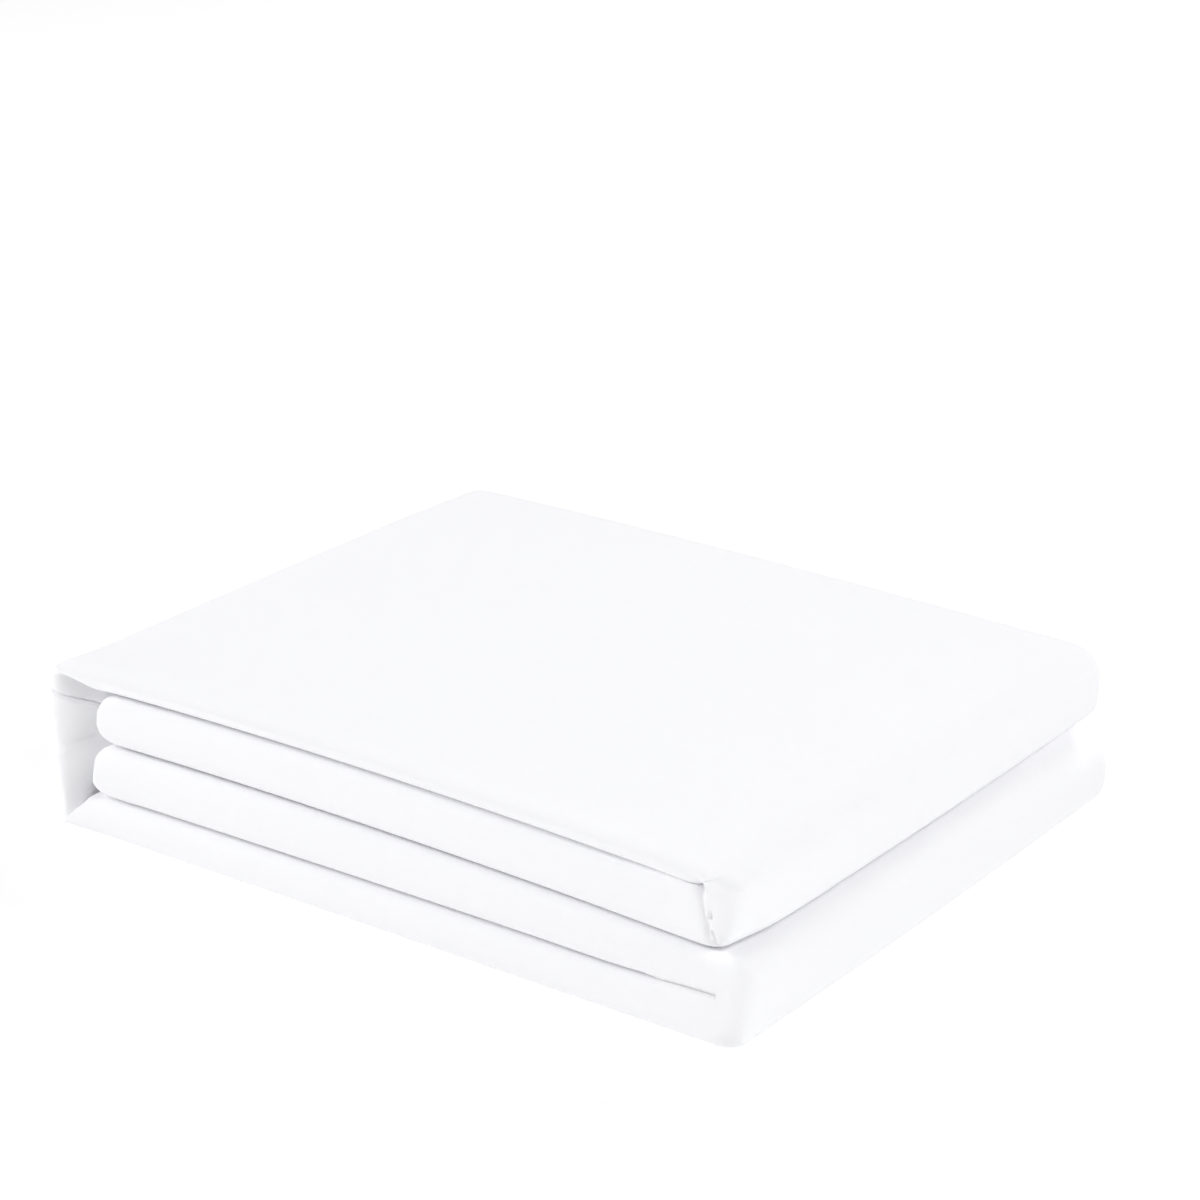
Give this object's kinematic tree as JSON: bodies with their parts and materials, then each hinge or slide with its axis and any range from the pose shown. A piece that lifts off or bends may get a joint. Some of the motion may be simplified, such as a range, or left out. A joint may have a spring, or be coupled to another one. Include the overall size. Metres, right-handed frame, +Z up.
{
  "type": "folded flat sheet",
  "caption": "White cotton flat bed sheet, folded into a soft rectangular stack with its spine at one end and rolled folds at the other.",
  "frame": {"origin": "middle of the underside, on the surface that the folded sheet lies on", "axes": "+X from the spine of the folded strip to its rolled folds, +Y from the front folds to the back, +Z up"},
  "size_m": [0.3, 0.2504, 0.0626],
  "materials": {
    "cotton": "soft matt plain weave"
  },
  "bodies": {
    "root": {"sheet": "cotton"}
  },
  "joints": []
}
